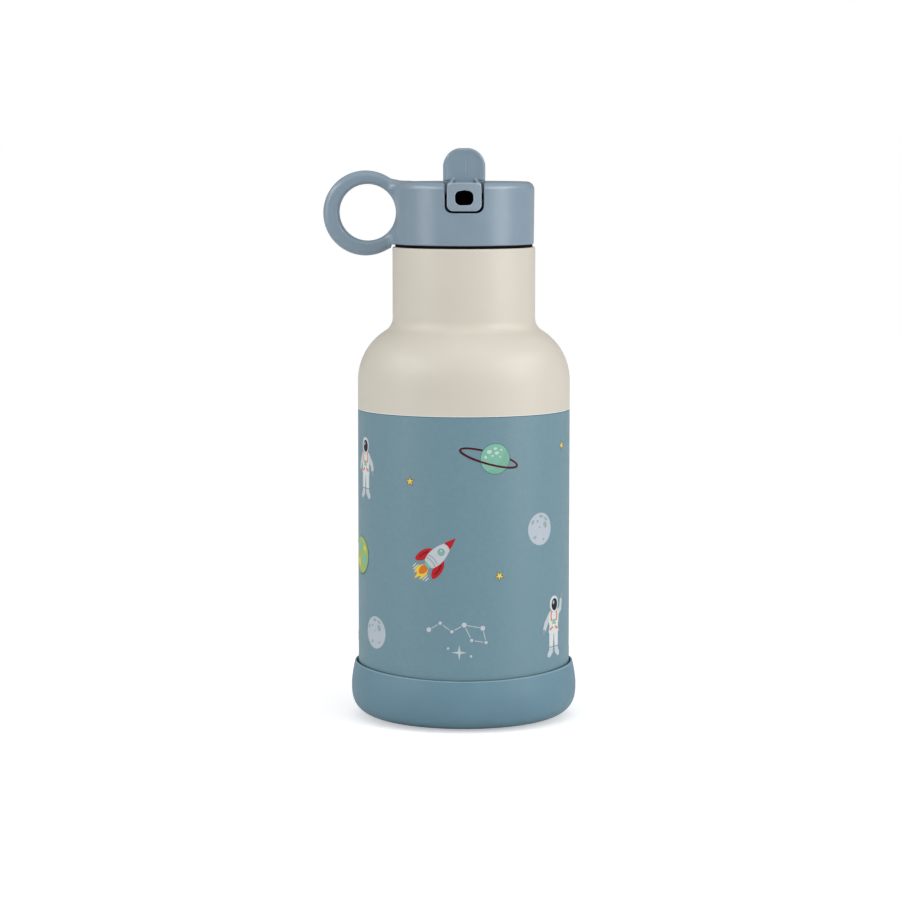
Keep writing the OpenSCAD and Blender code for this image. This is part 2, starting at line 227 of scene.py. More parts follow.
def powder_coat(name, colour):
    """Powder coat: fine orange peel under a satin gloss."""
    made, shader, place = new_material(name, colour, 0.4)
    tree = made.node_tree
    shader.inputs["Coat Weight"].default_value = 0.04
    shader.inputs["Coat Roughness"].default_value = 0.35
    vary_colour(tree, shader, add_noise(tree, place, 60, 4), colour, 0.015)
    vary_roughness(tree, shader, add_noise(tree, place, 300, 3), 0.42, 0.5)
    add_bump(tree, shader, add_noise(tree, place, 1300, 2), 0.018, 0.6)
    return made


def printed(name, colour, roughness=0.42, gloss=0.4):
    """Heat-transfer print: even ink with a faint screen grain."""
    made, shader, place = new_material(name, colour, roughness)
    tree = made.node_tree
    shader.inputs["Specular IOR Level"].default_value = gloss
    vary_colour(tree, shader, add_noise(tree, place, 700, 3), colour, 0.03)
    vary_roughness(tree, shader, add_noise(tree, place, 240, 3), roughness - 0.04, roughness + 0.05)
    add_bump(tree, shader, add_noise(tree, place, 1500, 2), 0.01, 0.5)
    return made


def paint_crevice_shade(made, reach_mm, darkest_shade):
    """Painted shade: darkens the colour and dulls the surface within reach_mm of whatever stands over it."""
    tree = made.node_tree
    shader = tree.nodes["Principled BSDF"]
    base, roughness = shader.inputs["Base Color"], shader.inputs["Roughness"]
    cover = tree.nodes.new("ShaderNodeAmbientOcclusion")
    cover.samples = 12
    cover.inputs["Distance"].default_value = reach_mm * MM
    span = map_range(tree, cover.outputs["AO"], 0.35, 0.85, darkest_shade, 1.0)
    scaled = tree.nodes.new("ShaderNodeVectorMath")
    scaled.operation = "SCALE"
    tree.links.new(base.links[0].from_socket, scaled.inputs[0])
    tree.links.new(span.outputs["Result"], scaled.inputs["Scale"])
    tree.links.new(scaled.outputs["Vector"], base)
    dull = map_range(tree, cover.outputs["AO"], 0.0, 1.0, 1.0, 1.0)
    tree.links.new(roughness.links[0].from_socket, dull.inputs["To Max"])
    tree.links.new(dull.outputs["Result"], roughness)


def brushed_metal(name, colour, roughness, stretch=(1, 1, 12)):
    """Metal with fine lines: they run round the part where stretch squeezes its height."""
    made, shader, place = new_material(name, colour, roughness, metallic=1.0)
    tree = made.node_tree
    lines = add_noise(tree, place, 400, 4, stretch)
    vary_colour(tree, shader, lines, colour, 0.05)
    vary_roughness(tree, shader, lines, roughness - 0.06, roughness + 0.1)
    add_bump(tree, shader, lines, 0.01, 0.4)
    return made


LID_BLUE = srgb(130, 149, 164)
FACE_BLUE = srgb(137, 154, 167)
RIM_HIGHLIGHT_BLUE = srgb(164, 180, 192)
TAB_BLUE = srgb(124, 144, 159)
BOOT_BLUE = srgb(100, 135, 151)
LIP_HIGHLIGHT_BLUE = srgb(123, 158, 172)
PRINT_BLUE = srgb(108, 141, 153)
CREAM = srgb(209, 203, 190)

cream_coat = powder_coat("cream_coat", CREAM)
print_blue = printed("print_blue", PRINT_BLUE)
boot_silicone = silicone("boot_silicone", BOOT_BLUE)
# Paler copy of the boot's silicone for the lip's top: painted highlight.
boot_lip = silicone("boot_lip", LIP_HIGHLIGHT_BLUE, 0.4)
lid_plastic = moulded_plastic("lid_plastic", LID_BLUE, 0.3)
spout_plastic = moulded_plastic("spout_plastic", TAB_BLUE, 0.29)
plug_plastic = moulded_plastic("plug_plastic", LID_BLUE, 0.4)
spout_face = moulded_plastic("spout_face", FACE_BLUE, 0.45)
# Paler blue for the rounded rim round the spout's face: painted highlight.
spout_rim_highlight = moulded_plastic("spout_rim_highlight", RIM_HIGHLIGHT_BLUE, 0.22)
# Painted shade in crevices: on the film above the boot's lip and round the motifs, in the lid's slot round
# the spout, and in the spout's own folds.
paint_crevice_shade(print_blue, 0.9, 0.3)
paint_crevice_shade(lid_plastic, 1.2, 0.05)
paint_crevice_shade(spout_plastic, 0.8, 0.15)
# Near-black plastic for the inside of the spout's mouth and the pad behind it: painted shade in the bore.
bore_painted_shade = moulded_plastic("bore_painted_shade", (0.003, 0.003, 0.004), 0.7, gloss=0.05)
# Near-black gasket: painted shade for the dark gap under the lid.
gasket_silicone = silicone("gasket_silicone", (0.004, 0.004, 0.005), 0.6, gloss=0.05)
clear_silicone = silicone("clear_silicone", (0.75, 0.77, 0.77), 0.42)
straw_plastic = moulded_plastic("straw_plastic", (0.78, 0.81, 0.82), 0.3)
spun_steel = brushed_metal("spun_steel", (0.62, 0.61, 0.59), 0.3)
drawn_steel = brushed_metal("drawn_steel", (0.6, 0.6, 0.59), 0.36, (8, 8, 1))
# Near-black steel for the hinge pins: painted shade, so the pins stay dark in the gap beside the spout.
pin_steel = brushed_metal("pin_steel", (0.06, 0.06, 0.065), 0.5, (12, 1, 1))
foil_metal = brushed_metal("foil_metal", (0.8, 0.8, 0.81), 0.18, (1, 1, 4))
solder_metal = brushed_metal("solder_metal", (0.42, 0.42, 0.43), 0.45, (1, 1, 1))
getter_metal = brushed_metal("getter_metal", (0.2, 0.19, 0.18), 0.6, (1, 1, 1))

INKS = {
    "white": srgb(212, 217, 218), "silver": srgb(192, 199, 206), "grey": srgb(136, 150, 160),
    "moon": srgb(182, 191, 201), "crater": srgb(142, 168, 166), "mint": srgb(128, 182, 163),
    "mint_light": srgb(186, 216, 204), "mint_shade": srgb(120, 174, 154), "teal": srgb(58, 112, 110),
    "maroon": srgb(72, 4, 18), "red": srgb(182, 26, 34), "orange": srgb(214, 116, 40),
    "yellow": srgb(232, 200, 72), "gold": srgb(238, 208, 92), "ochre": srgb(96, 98, 62),
    # The film's top edge: "edge" is a pale line, part print border and part painted highlight, and the ink
    # after it is a dark line of painted shadow.
    "navy": srgb(8, 16, 30), "lime": srgb(160, 184, 92), "edge": srgb(236, 240, 240),
    "edge_painted_shadow": srgb(76, 100, 112),
}
ink_materials = {ink: printed("ink_" + ink, colour, 0.45, gloss=0.2) for ink, colour in INKS.items()}


# ---- Mesh makers ----

def add_object(name, data):
    """Object in the scene that shows data."""
    made = bpy.data.objects.new(name, data)
    bpy.context.scene.collection.objects.link(made)
    return made


def finish_mesh(name, mesh, materials, node=None, body=None):
    """Adds the mesh as a piece, hangs it on the body it rides on and hides the CAD node it stands for."""
    piece = add_object(name, mesh)
    for made in materials:
        mesh.materials.append(made)
    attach(piece, body)
    if node:
        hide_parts(node)
    return piece


def arc(centre, radius, start, end, steps, skip=0):
    """Points on an arc, in degrees, leaving out the first few."""
    angles = [math.radians(start + (end - start) * i / steps) for i in range(skip, steps + 1)]
    return [(centre[0] + radius * math.cos(a), centre[1] + radius * math.sin(a)) for a in angles]


def along(start, end, share):
    """Point at a share of the way from start to end."""
    return start[0] + (end[0] - start[0]) * share, start[1] + (end[1] - start[1]) * share


def line(start, end, steps):
    """Points from start to end, leaving out both ends."""
    return [along(start, end, i / steps) for i in range(1, steps)]


def shoulder(wall_r, z, out_r, in_r, neck_r, steps=40):
    """A wall that curves in to a hollow and then to a neck, with no corner between the two curves."""
    across = neck_r + in_r - (wall_r - out_r)
    up = math.sqrt((out_r + in_r) ** 2 - across ** 2)
    turn = math.degrees(math.atan2(up, across))
    hollow = (neck_r + in_r, z + up)
    outward = arc((wall_r - out_r, z), out_r, 0, turn, steps)
    return outward + arc(hollow, in_r, 180 + turn, 180, steps // 2, 1)


def lathe_mesh(name, outline, crease=40):
    """Closed mesh of an outline of (radius, height) points turned about Z. A point on the axis is a pole,
    and an outline that keeps off the axis closes on itself."""
    mesh_maker = bmesh.new()
    turns = [2 * math.pi * i / AROUND for i in range(AROUND)]
    rings = []
    for radius, z in outline:
        if radius < 1e-6:
            rings.append([mesh_maker.verts.new((0, 0, z * MM))] * AROUND)
        else:
            places = [(radius * MM * math.cos(a), radius * MM * math.sin(a), z * MM) for a in turns]
            rings.append([mesh_maker.verts.new(place) for place in places])
    pairs = list(zip(rings, rings[1:]))
    if outline[0][0] > 1e-6:
        pairs.append((rings[-1], rings[0]))
    for low, high in pairs:
        for i in range(AROUND):
            j = (i + 1) % AROUND
            corners = list(dict.fromkeys([low[i], low[j], high[j], high[i]]))
            if len(corners) > 2:
                mesh_maker.faces.new(corners)
    bmesh.ops.recalc_face_normals(mesh_maker, faces=mesh_maker.faces)
    mesh = bpy.data.meshes.new(name)
    mesh_maker.to_mesh(mesh)
    mesh_maker.free()
    mesh.shade_smooth()
    mesh.set_sharp_from_angle(angle=math.radians(crease))
    return mesh


def field_gradient(field, points, reach=0.02):
    """Slope of a distance field at points."""
    slope = np.empty_like(points)
    for axis in range(3):
        step = np.zeros(3)
        step[axis] = reach
        slope[:, axis] = (field(*(points + step).T) - field(*(points - step).T)) / (2 * reach)
    return slope


def field_mesh(name, field, low, high, cell):
    """Mesh of the surface where field(x, y, z) is zero, in millimetres. It is built by surface nets: one
    point in each grid cell that the surface crosses, and one quad for each grid edge that it crosses. The
    points then slide down the field's slope onto the surface, and the slope gives the normals."""
    grid = [np.arange(low[a], high[a] + cell, cell) for a in range(3)]
    value = field(*np.meshgrid(*grid, indexing="ij"))
    cells = tuple(n - 1 for n in value.shape)
    total = np.zeros((*cells, 3))
    crossings = np.zeros(cells)

    def cell_corner(at):
        """The field at one corner of every cell."""
        return value[tuple(slice(start, start + count) for start, count in zip(at, cells))]

    for axis in range(3):
        others = [a for a in range(3) if a != axis]
        for du in (0, 1):
            for dv in (0, 1):
                near = [0, 0, 0]
                near[others[0]], near[others[1]] = du, dv
                far = list(near)
                far[axis] = 1
                first, second = cell_corner(near), cell_corner(far)
                crossed = (first < 0) != (second < 0)
                where = np.divide(first, first - second, out=np.zeros_like(first), where=crossed)
                for a in range(3):
                    total[..., a] += crossed * (near[a] + (where if a == axis else 0))
                crossings += crossed
    active = crossings > 0
    index = np.full(cells, -1)
    index[active] = np.arange(active.sum())
    points = (np.argwhere(active) + total[active] / crossings[active][:, None]) * cell
    points += np.array([g[0] for g in grid])
    quads = []
    for axis in range(3):
        u, v = [a for a in range(3) if a != axis]
        inner = [slice(1, n - 1) for n in value.shape]
        near, far = list(inner), list(inner)
        near[axis], far[axis] = slice(0, -1), slice(1, None)
        first, second = value[tuple(near)] < 0, value[tuple(far)] < 0
        edges = np.argwhere(first != second)
        leaving = first[tuple(edges.T)]
        start = edges.copy()
        start[:, u] += 1
        start[:, v] += 1
        corners = []
        for du, dv in ((-1, -1), (0, -1), (0, 0), (-1, 0)):
            at = start.copy()
            at[:, u] += du
            at[:, v] += dv
            corners.append(index[tuple(at.T)])
        ring = np.stack(corners, axis=1)
        flip = leaving if axis == 1 else ~leaving
        ring[flip] = ring[flip][:, ::-1]
        quads.append(ring)
    for _ in range(6):
        slope = field_gradient(field, points)
        steep = np.maximum((slope ** 2).sum(1), 0.05)
        move = np.clip(field(*points.T) / steep, -cell / 2, cell / 2)
        points -= slope * move[:, None]
    slope = field_gradient(field, points)
    slope /= np.maximum(np.linalg.norm(slope, axis=1, keepdims=True), 1e-9)
    mesh = bpy.data.meshes.new(name)
    mesh.from_pydata((points * MM).tolist(), [], np.concatenate(quads).tolist())
    mesh.shade_smooth()
    mesh.normals_split_custom_set_from_vertices(slope.tolist())
    return mesh


# Distance fields. A field is negative inside a solid. The round_ versions leave a fillet or a rounded
# edge of the given radius where two solids meet.

def round_union(a, b, radius):
    return (np.maximum(radius, np.minimum(a, b))
            - np.hypot(np.maximum(radius - a, 0), np.maximum(radius - b, 0)))


def round_overlap(a, b, radius):
    return (np.minimum(-radius, np.maximum(a, b))
            + np.hypot(np.maximum(radius + a, 0), np.maximum(radius + b, 0)))


def round_cut(a, b, radius):
    return round_overlap(a, -b, radius)


def slab(value, low, high):
    return np.abs(value - (low + high) / 2) - (high - low) / 2


def bar(x, y, z, start, end, radius):
    """Field of a round bar with round ends."""
    axis = end - start
    px, py, pz = x - start.x, y - start.y, z - start.z
    share = np.clip((px * axis.x + py * axis.y + pz * axis.z) / axis.length_squared, 0, 1)
    off_x, off_y, off_z = px - share * axis.x, py - share * axis.y, pz - share * axis.z
    return np.sqrt(off_x ** 2 + off_y ** 2 + off_z ** 2) - radius


def rounded_box(u, v, half_u, half_v, radius):
    """Field of a rectangle with rounded corners."""
    du = np.abs(u) - half_u + radius
    dv = np.abs(v) - half_v + radius
    return np.hypot(np.maximum(du, 0), np.maximum(dv, 0)) + np.minimum(np.maximum(du, dv), 0) - radius


# ---- Bottle ----

def make_outer_shell():
    """Steel outer wall from the seam over the boot to the rolled rim, under the cream coat."""
    wall_r = BODY_R - FILM_T
    bore_r = wall_r - STEEL
    neck_bore_r = NECK_R - STEEL - 0.05
    rim = 0.45
    outline = [(wall_r, FILM_FOOT)] + line((wall_r, FILM_FOOT), (wall_r, FILM_TOP), 12)
    outline += [(wall_r, FILM_TOP), (BODY_R, FILM_TOP)]
    outline += shoulder(BODY_R, SHOULDER_Z, SHOULDER_R, NECK_HOLLOW_R, NECK_R)
    outline += arc((NECK_R - rim, RIM_Z - rim), rim, 0, 90, 8)
    outline += [(RIM_IN_R, RIM_Z), (RIM_IN_R, RIM_Z - STEEL), (neck_bore_r, RIM_Z - STEEL)]
    inside = shoulder(bore_r, SHOULDER_Z, SHOULDER_R - FILM_T - STEEL, NECK_HOLLOW_R + STEEL, neck_bore_r)
    outline += inside[::-1]
    outline += [(bore_r, FILM_FOOT)]
    mesh = lathe_mesh("shell_cream", outline)
    return finish_mesh("shell_cream", mesh, [cream_coat], "outer_shell", "bottle")


def make_print_film():
    """Thin blue film round the straight wall, flush with the cream above it. Its upper edge is a dark line
    of painted shadow under a pale line, part white print border and part painted highlight."""
    inner_r = BODY_R - FILM_T
    edge, pale_z, dark_z = 0.03, FILM_TOP - 0.2, FILM_TOP - 0.45
    outline = [(inner_r, FILM_FOOT), (BODY_R, FILM_FOOT)]
    outline += line((BODY_R, FILM_FOOT), (BODY_R, dark_z), 16)
    outline += [(BODY_R, dark_z), (BODY_R, pale_z), (BODY_R, FILM_TOP - edge)]
    outline += [(BODY_R - edge, FILM_TOP), (inner_r, FILM_TOP)]
    mesh = lathe_mesh("film_blue", outline)
    for face in mesh.polygons:
        # Top two bands: painted shadow, and above it a pale line that is part print border and part painted
        # highlight.
        face.material_index = int(face.center.z > dark_z * MM) + int(face.center.z > pale_z * MM)
    looks = [print_blue, ink_materials["edge_painted_shadow"], ink_materials["edge"]]
    return finish_mesh("film_blue", mesh, looks, "print_film", "bottle")


def make_boot():
    """Silicone boot: a superelliptic bottom corner, sides that lean in, and a full-round lip that dips a
    little in front and behind, where the soft wall is stretched least."""
    corner_w, corner_h, power = 14.2, 10.9, 2.85
    slit, slit_depth = 0.5, 1.6
    dip, rise, lip_highlight_band = 1.1, 0.45, 0.42
    lip = (BOOT_LIP_R - BODY_R - slit) / 2
    lip_at = (BOOT_LIP_R - lip, BOOT_H - lip)
    cup_corner = 9.0
    wall_r = BODY_R - FILM_T
    corner_steps, side_steps = 36, 14

    def bulge(degrees):
        """Point on the bottom corner, from the foot at 90 degrees to the widest place at 0."""
        a = math.radians(degrees)
        return (BOOT_R - corner_w + corner_w * max(0, math.cos(a)) ** (2 / power),
                corner_h - corner_h * math.sin(a) ** (2 / power))

    outline = [(0, 0)]
    groove_w, groove_h, groove_draft = 0.8, 0.4, 0.1
    for groove in (12, 15.5, 19):
        outline += [(groove, 0), (groove + groove_draft, groove_h),
                    (groove + groove_w - groove_draft, groove_h), (groove + groove_w, 0)]
    outline += [bulge(90 * (1 - (i / corner_steps) ** 1.5)) for i in range(corner_steps + 1)]
    for i in range(1, side_steps):
        share = i / side_steps
        outline.append((BOOT_R - (BOOT_R - BOOT_LIP_R) * share ** 1.6,
                        corner_h + (lip_at[1] - corner_h) * share))
    outline += arc(lip_at, lip, 0, 180, 16)
    outline += [(BODY_R + slit, BOOT_H - slit_depth), (BODY_R, BOOT_H - slit_depth - slit)]
    outline += [(BODY_R, FILM_FOOT), (wall_r, FILM_FOOT)]
    outline += arc((wall_r - cup_corner, BOOT_FLOOR + cup_corner), cup_corner, 0, -90, 16)
    outline += [(0, BOOT_FLOOR)]
    mesh = lathe_mesh("boot", outline, 35)
    # The paler blue on the lip's top band is painted highlight.
    for face in mesh.polygons:
        face.material_index = int(face.center.z > (BOOT_H - lip_highlight_band) * MM)
    for vert in mesh.vertices:
        share = min(max((vert.co.z / MM - corner_h) / (BOOT_H - corner_h), 0), 1)
        front = (vert.co.y / max(vert.co.xy.length, MM)) ** 2
        vert.co.z += (rise - (rise + dip) * front) * share * MM
    return finish_mesh("boot", mesh, [boot_silicone, boot_lip], "silicone_boot", "bottle")


def make_gasket():
    """Gasket between the neck's rim and the lid, with rounded edges. Its near-black colour is painted shade
    for the dark gap.
    """
    edge = 0.2
    low, high, inner, outer = gasket_low.z, gasket_high.z, 19.1, gasket_high.x
    outline = []
    for corner, start in (((outer - edge, low + edge), -90), ((outer - edge, high - edge), 0),
                          ((inner + edge, high - edge), 90), ((inner + edge, low + edge), 180)):
        outline += arc(corner, edge, start, start + 90, 5)
    mesh = lathe_mesh("gasket_ring", outline, 60)
    return finish_mesh("gasket_ring", mesh, [gasket_silicone], "neck_gasket", "gasket")


# ---- Lid ----

def loop_outline(x, z):
    """Field of the loop seen from the front, with a hollow that carries its crown down to the lid's top."""
    hollow_r = 10.0
    hollow_z = LID_TOP + hollow_r
    hollow_x = LOOP_X + math.sqrt((LOOP_R + hollow_r) ** 2 - (hollow_z - LOOP_Z) ** 2)
    crown = np.hypot(x - LOOP_X, z - LOOP_Z) - LOOP_R
    plain = np.minimum(crown, np.maximum(z - LID_TOP, LOOP_X - x))
    past_crown = (LOOP_X - hollow_x) * (z - hollow_z) > (LOOP_Z - hollow_z) * (x - hollow_x)
    hollow = hollow_r - np.hypot(x - hollow_x, z - hollow_z)
    return np.where((x < hollow_x) & past_crown, hollow, plain)


def lid_field(x, y, z):
    """Lid with its loop, slot, hinge bosses and port."""
    around = np.hypot(x, y)
    lean = (LID_TOP_R - LID_R) / (LID_TOP - LID_Z)
    wall = around - LID_R - lean * (z - LID_Z)
    bevel, bevel_h = math.radians(20), 2.3
    top_edge, foot_edge, loop_edge, loop_fillet, hole_edge, slot_edge = 1.5, 0.6, 2.3, 3.0, 1.7, 0.22
    cone = wall * math.cos(bevel) + (z - LID_TOP + bevel_h) * math.sin(bevel)
    bevelled = np.maximum(wall, round_overlap(cone, z - LID_TOP, top_edge))
    body = round_overlap(bevelled, LID_Z - z, foot_edge)

    outline = loop_outline(x, z)
    trim_edge = 0.25
    crown = np.hypot(x - LOOP_X, z - LOOP_Z) - LOOP_R
    arm = round_overlap(np.where(z > LOOP_Z, outline, crown), np.abs(y) - LOOP_T / 2, loop_edge)
    arm_end_x = -19.0
    arm = np.maximum(arm, x - arm_end_x)
    solid = round_union(body, arm, loop_fillet)
    solid = round_overlap(solid, np.where(x < 0, outline, -LOOP_R) - trim_edge, trim_edge)
    neck_gap = 0.45
    neck_room = np.maximum(z - LID_Z, around - NECK_R - neck_gap)
    solid = round_cut(solid, neck_room, 0.3)
    hole = np.hypot(x - LOOP_HOLE_X, z - LOOP_HOLE_Z) - LOOP_HOLE_R
    solid = round_cut(solid, hole, hole_edge)

    slot_wall, port_r, port_wall, port_foot = 1.5, 4.3, 2.0, 159.0
    boss_reach, boss_half, pin_reach, pin_r, vent_r, vent_y = 4.25, 3.0, 5.0, 1.0, 0.8, 13.0
    from_slot = np.abs(x) - SLOT_W / 2
    cavity = np.maximum(around - LID_BORE_R, z - LID_TOP + LID_WALL)
    trough = np.maximum(np.maximum(from_slot - slot_wall, y - SLOT_END_Y - slot_wall),
                        SLOT_FLOOR - slot_wall - z)
    port = np.maximum(around - port_r - port_wall, port_foot - z)
    bosses = np.maximum(np.maximum(from_slot - boss_reach, np.abs(y) - boss_half), HINGE_Z - boss_half - z)
    inner = np.minimum(np.minimum(trough, port), bosses)
    solid = np.maximum(solid, -round_cut(cavity, inner, 0.4))

    slot_corner = 2.4
    slot_mid = (SLOT_FLOOR + LID_TOP + 12) / 2
    section = rounded_box(x, z - slot_mid, SLOT_W / 2, slot_mid - SLOT_FLOOR, slot_corner)
    slot = np.maximum(section, y - SLOT_END_Y)
    solid = round_cut(solid, slot, slot_edge)
    solid = np.maximum(solid, -np.maximum(around - port_r, z - SLOT_FLOOR - 1))
    pins = np.hypot(y, z - HINGE_Z) - pin_r
    solid = np.maximum(solid, -np.maximum(pins, from_slot - pin_reach))
    vent = np.hypot(x, y - vent_y) - vent_r
    return round_cut(solid, np.maximum(vent, LID_TOP - 2 * LID_WALL - z), 0.3)


def make_lid():
    """Lid, with a near-black pad on the slot's end wall that shuts the spout's bore when the spout lies
    flat: a seal pad whose black is painted shade, so the mouth looks dark.
    """
    mesh = field_mesh("lid_cap", lid_field, lid_low - MARGIN, lid_high + MARGIN, 0.42)
    pad_r = 2.6
    # The pad's near-black is painted shade seen through the spout's mouth.
    for face in mesh.polygons:
        at = face.center / MM - Vector((0, SLOT_END_Y, HINGE_Z))
        face.material_index = int(abs(at.x) < pad_r and abs(at.y) < 0.4 and abs(at.z) < pad_r)
    return finish_mesh("lid_cap", mesh, [lid_plastic, bore_painted_shade], "lid_shell", "lid")


# ---- Spout ----

def spout_field(x, y, z):
    """Spout: a rounded-square tube with a barrel at its back, a thumb tab on top and a bore through it."""
    face_r, face_edge, tube_corner, barrel_edge = LID_R + 0.1, 0.38, 2.1, 2.0
    around = np.hypot(x, y)
    across = np.abs(x)
    tube = rounded_box(x, z - SPOUT_MID_Z, SPOUT_W / 2, SPOUT_H / 2, tube_corner)
    tube = round_overlap(np.maximum(tube, y), around - face_r, face_edge)
    relief = np.maximum(slab(y, -4.9, 0.1), z - SEAT_TOP - 0.3)
    tube = np.maximum(tube, -relief)
    barrel = round_overlap(np.hypot(y, z - HINGE_Z) - BARREL_R, across - SPOUT_W / 2, barrel_edge)
    tube = np.minimum(tube, barrel)

    bottom, tab_corner, foot_corner, tab_edge = LID_TOP + 0.3, 5.7, 0.5, 0.9
    tab_half_w, tab_half_h = TAB_W / 2 - 0.3, (TAB_TOP - bottom) / 2
    up = z - (TAB_TOP + bottom) / 2
    crown = 0.3 * (across / tab_half_w) ** 2
    corners = np.where(up > 0, tab_corner, foot_corner)
    plate = rounded_box(x, up + crown * (up > 0), tab_half_w, tab_half_h, corners)
    dish_depth, dish_rim, dish_slope = 0.6, 0.8, 2.6
    inside = -rounded_box(x, np.maximum(up, 0) + crown * (up > 0), tab_half_w, tab_half_h, tab_corner)
    deep = np.clip((inside - dish_rim) / dish_slope, 0, 1)
    sunk = dish_depth * deep * (2 - deep)
    groove_depth, groove_x, groove_w, groove_half, groove_fade = 0.12, 0.7, 0.25, 3.2, 0.5
    groove_end = np.clip((groove_half - np.abs(up + 0.4)) / groove_fade, 0, 1)
    groove = groove_depth * np.exp(-((x - groove_x) / groove_w) ** 2) * groove_end
    front = TAB_FRONT_Y + sunk + groove - y
    root = np.maximum(across - SPOUT_W / 2 + 0.5, slab(z, SPOUT_MID_Z, bottom + 2))
    tab = round_overlap(np.minimum(plate, root), np.maximum(front, y - TAB_FRONT_Y - TAB_T), tab_edge)
    solid = round_union(tube, tab, 0.5)
    low = z < LID_TOP + 0.25
    solid = np.maximum(solid, np.where(low, across - SPOUT_W / 2, -1.0))
    solid = np.maximum(solid, np.where(low, around - face_r, -1.0))
    rib_r, rib_fillet = 0.38, 0.6
    for side in (-1, 1):
        top = Vector((3.7 * side, TAB_FRONT_Y + 0.2, LID_TOP + 0.9))
        foot = Vector((5.0 * side, -LID_R + 1.0, LID_TOP - 0.8))
        solid = round_union(solid, bar(x, y, z, top, foot, rib_r), rib_fillet)

    mouth_bow, mouth_corner, mouth_depth, mouth_edge = 0.3, 1.5, 14, 0.35
    bowed = np.abs(z - HINGE_Z + MOUTH_DROP) + mouth_bow * (x / (MOUTH_W / 2)) ** 2
    mouth = rounded_box(x, bowed, MOUTH_W / 2, MOUTH_H / 2 + 0.05, mouth_corner)
    mouth = np.maximum(mouth, y + face_r - mouth_depth)
    solid = round_cut(solid, mouth, mouth_edge)
    bore_r, pin_r, pin_start = 2.1, 1.05, 3.2
    bore = np.hypot(x, z - HINGE_Z) - bore_r
    solid = np.maximum(solid, -bore)
    pins = np.hypot(y, z - HINGE_Z) - pin_r
    return np.maximum(solid, -np.maximum(pins, pin_start - across))


def make_spout():
    """Spout, with its face in its own finish, a paler blue on the face's rounded rim as painted highlight,
    and the inside of its mouth near-black as painted shade.
    """
    mesh = field_mesh("spout_body", spout_field, spout_low - MARGIN, spout_high + MARGIN, 0.22)
    face_depth, rim_facing, flat_facing, mouth_end_y = 0.45, 0.25, 0.93, 2.5
    for face in mesh.polygons:
        at = face.center / MM
        out = Vector((at.x, at.y, 0))
        facing = face.normal.dot(out.normalized())
        in_mouth = abs(at.x) < MOUTH_W / 2 + 0.1 and abs(at.z - HINGE_Z + MOUTH_DROP) < MOUTH_H / 2 + 0.3
        # Faces on the rounded rim of the face get the paler blue: painted highlight.
        if out.length > LID_R - face_depth and at.z < LID_TOP and facing > rim_facing:
            face.material_index = 1 if facing > flat_facing else 2
        # Faces inside the mouth get near-black plastic: painted shade.
        elif in_mouth and at.y < mouth_end_y:
            face.material_index = 3
    looks = [spout_plastic, spout_face, spout_rim_highlight, bore_painted_shade]
    return finish_mesh("spout_body", mesh, looks, "spout", "spout")


# ---- Printed motifs ----

# A shape is (points, faces, ink, layer). Its points are in millimetres on the unrolled print, with v up.

def shape(outline, ink, layer):
    """Filled shape from a closed outline."""
    return [tuple(p) for p in outline], [tuple(range(len(outline)))], ink, layer


def oval(centre, half, tilt=0.0, steps=48):
    """Outline of an ellipse, tilted by some degrees."""
    turn = math.radians(tilt)
    points = []
    for i in range(steps):
        a = 2 * math.pi * i / steps
        u, v = half[0] * math.cos(a), half[1] * math.sin(a)
        points.append((centre[0] + u * math.cos(turn) - v * math.sin(turn),
                       centre[1] + u * math.sin(turn) + v * math.cos(turn)))
    return points


def star(centre, outer, inner, tips=5, turn=90.0):
    """Outline of a star with one tip at the given angle."""
    points = []
    for i in range(2 * tips):
        a = math.radians(turn + 180 * i / tips)
        r = inner if i % 2 else outer
        points.append((centre[0] + r * math.cos(a), centre[1] + r * math.sin(a)))
    return points


def smooth(knots, steps=8):
    """Closed Catmull-Rom curve through the knots."""
    points = []
    for i in range(len(knots)):
        p0, p1, p2, p3 = (np.array(knots[(i + k - 1) % len(knots)], float) for k in range(4))
        for j in range(steps):
            t = j / steps
            points.append(tuple(0.5 * (2 * p1 + (p2 - p0) * t + (2 * p0 - 5 * p1 + 4 * p2 - p3) * t ** 2
                                       + (3 * p1 - p0 - 3 * p2 + p3) * t ** 3)))
    return points


def stroke(path, width, ink, layer, closed=False, taper=False):
    """Line of the given width along a path of points."""
    count = len(path)
    points = []
    for i, (u, v) in enumerate(path):
        before = path[(i - 1) % count] if closed else path[max(i - 1, 0)]
        after = path[(i + 1) % count] if closed else path[min(i + 1, count - 1)]
        way = np.array(after) - np.array(before)
        way = way / max(np.linalg.norm(way), 1e-9)
        half = width / 2
        if taper:
            half *= 0.25 + 0.75 * math.sin(math.pi * (i + 0.5) / count)
        points += [(u - way[1] * half, v + way[0] * half), (u + way[1] * half, v - way[0] * half)]
    spans = count if closed else count - 1
    faces = []
    for i in range(spans):
        a, b = 2 * i, 2 * ((i + 1) % count)
        faces.append((a, a + 1, b + 1, b))
    return points, faces, ink, layer


def limb(start, end, width_start, width_end, ink, layer):
    """Rounded bar that tapers from one end to the other."""
    a, b = np.array(start, float), np.array(end, float)
    way = b - a
    heading = math.degrees(math.atan2(way[1], way[0]))
    outline = arc(a, width_start / 2, heading + 90, heading + 270, 10)
    outline += arc(b, width_end / 2, heading - 90, heading + 90, 10)
    return shape(outline, ink, layer)


def bend(start, pull, end, steps=16):
    """Points on a curve from start to end that leans towards pull, leaving out both ends."""
    points = []
    for i in range(1, steps):
        t = i / steps
        points.append(tuple((1 - t) ** 2 * a + 2 * t * (1 - t) * b + t ** 2 * c
                            for a, b, c in zip(start, pull, end)))
    return points


